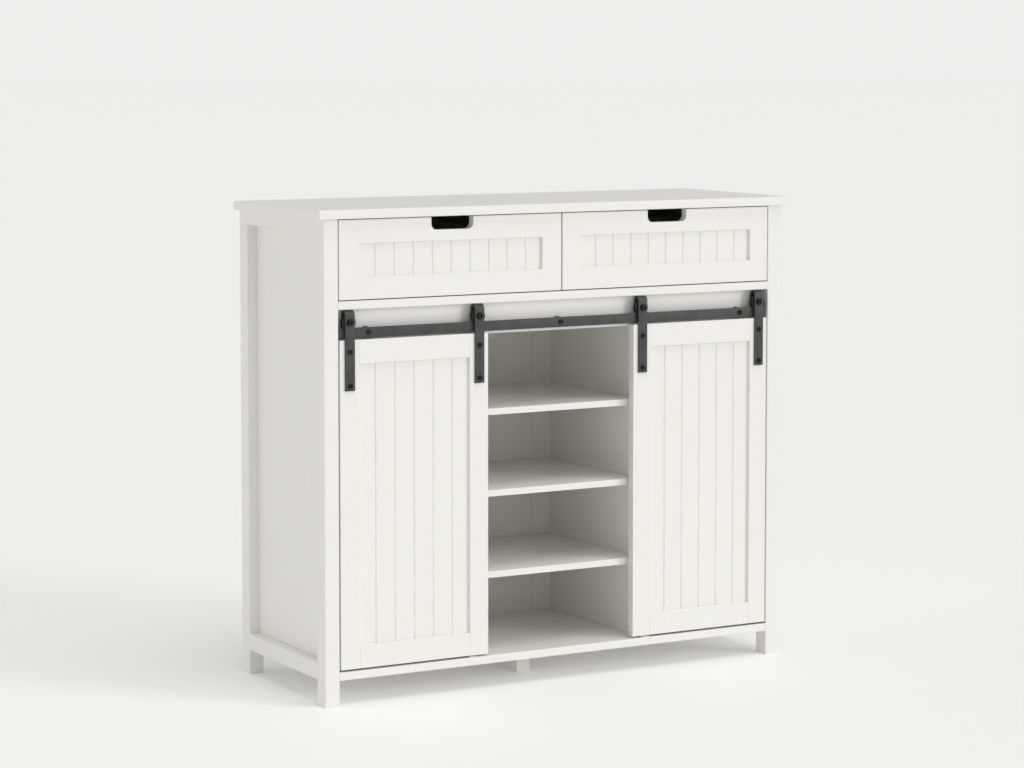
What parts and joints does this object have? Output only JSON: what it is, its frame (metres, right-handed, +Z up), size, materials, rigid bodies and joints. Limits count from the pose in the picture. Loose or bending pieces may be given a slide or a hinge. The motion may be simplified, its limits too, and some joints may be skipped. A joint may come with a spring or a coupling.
{
  "type": "sideboard",
  "caption": "Painted sideboard with beaded drawers above shelved bays, and sliding doors that hang on rollers from a flat black track.",
  "frame": {"origin": "on the floor, under the centre of the top board's outline", "axes": "+X to the right as seen from the front, +Y to the back, +Z up"},
  "size_m": [1.08, 0.4, 0.96],
  "materials": {
    "painted_wood": "satin warm white paint",
    "panel_board": "thin board, satin white paint",
    "black_steel": "satin black powder coat",
    "wheel_black": "matt black nylon",
    "guide_plastic": "matt pale nylon",
    "runner_steel": "zinc plated"
  },
  "bodies": {
    "carcass": {"back_cleats": "painted_wood", "back_panel": "panel_board", "bottom_board": "painted_wood", "cabinet_runners": "runner_steel", "centre_foot": "painted_wood", "centre_shelves": "painted_wood", "door_guides": "guide_plastic", "drawer_deck": "painted_wood", "drawer_divider": "painted_wood", "partition_left": "painted_wood", "partition_right": "painted_wood", "post_front_left": "painted_wood", "post_front_right": "painted_wood", "post_rear_left": "painted_wood", "post_rear_right": "painted_wood", "rear_rail": "painted_wood", "side_bottom_rails": "painted_wood", "side_panel_left": "painted_wood", "side_panel_right": "painted_wood", "side_shelves": "painted_wood", "side_top_rails": "painted_wood", "top_board": "painted_wood", "track_bar": "black_steel", "track_bolts": "black_steel", "track_fascia": "painted_wood", "track_spacers": "black_steel", "track_stops": "black_steel"},
    "left_door": {"left_door_stile_outer": "painted_wood", "left_door_stile_inner": "painted_wood", "left_door_top_rail": "painted_wood", "left_door_bottom_rail": "painted_wood", "left_door_panel": "painted_wood", "left_door_hanger_outer": "black_steel", "left_door_hanger_inner": "black_steel", "left_door_bolts": "black_steel", "left_door_axles": "black_steel"},
    "left_door_outer_wheel": {"left_door_wheel_outer": "wheel_black"},
    "left_door_inner_wheel": {"left_door_wheel_inner": "wheel_black"},
    "left_drawer": {"left_drawer_front": "painted_wood", "left_drawer_sides": "painted_wood", "left_drawer_back": "painted_wood", "left_drawer_bottom": "panel_board", "left_drawer_runners": "runner_steel"},
    "right_door": {"right_door_stile_outer": "painted_wood", "right_door_stile_inner": "painted_wood", "right_door_top_rail": "painted_wood", "right_door_bottom_rail": "painted_wood", "right_door_panel": "painted_wood", "right_door_hanger_outer": "black_steel", "right_door_hanger_inner": "black_steel", "right_door_bolts": "black_steel", "right_door_axles": "black_steel"},
    "right_door_outer_wheel": {"right_door_wheel_outer": "wheel_black"},
    "right_door_inner_wheel": {"right_door_wheel_inner": "wheel_black"},
    "right_drawer": {"right_drawer_front": "painted_wood", "right_drawer_sides": "painted_wood", "right_drawer_back": "painted_wood", "right_drawer_bottom": "panel_board", "right_drawer_runners": "runner_steel"}
  },
  "joints": [
    {"name": "left_door_slide", "type": "slide", "parent": "carcass", "child": "left_door", "axis": [1, 0, 0], "range_m": [0, 0.166]},
    {"name": "left_door_outer_wheel_spin", "type": "hinge", "parent": "left_door", "child": "left_door_outer_wheel", "pos_m": [-0.4715, -0.1815, 0.743], "axis": [0, 1, 0], "range_deg": [0, 870]},
    {"name": "left_door_inner_wheel_spin", "type": "hinge", "parent": "left_door", "child": "left_door_inner_wheel", "pos_m": [-0.1885, -0.1815, 0.743], "axis": [0, 1, 0], "range_deg": [0, 870]},
    {"name": "left_drawer_slide", "type": "slide", "parent": "carcass", "child": "left_drawer", "axis": [0, -1, 0], "range_m": [0, 0.25]},
    {"name": "right_door_slide", "type": "slide", "parent": "carcass", "child": "right_door", "axis": [-1, 0, 0], "range_m": [0, 0.166]},
    {"name": "right_door_outer_wheel_spin", "type": "hinge", "parent": "right_door", "child": "right_door_outer_wheel", "pos_m": [0.4715, -0.1815, 0.743], "axis": [0, -1, 0], "range_deg": [0, 870]},
    {"name": "right_door_inner_wheel_spin", "type": "hinge", "parent": "right_door", "child": "right_door_inner_wheel", "pos_m": [0.1885, -0.1815, 0.743], "axis": [0, -1, 0], "range_deg": [0, 870]},
    {"name": "right_drawer_slide", "type": "slide", "parent": "carcass", "child": "right_drawer", "axis": [0, -1, 0], "range_m": [0, 0.25]}
  ],
  "couplings": [
    {"joint": "left_door_outer_wheel_spin", "follows": "left_door_slide", "rad_per_m": 90.909},
    {"joint": "left_door_inner_wheel_spin", "follows": "left_door_slide", "rad_per_m": 90.909},
    {"joint": "right_door_outer_wheel_spin", "follows": "right_door_slide", "rad_per_m": 90.909},
    {"joint": "right_door_inner_wheel_spin", "follows": "right_door_slide", "rad_per_m": 90.909}
  ]
}
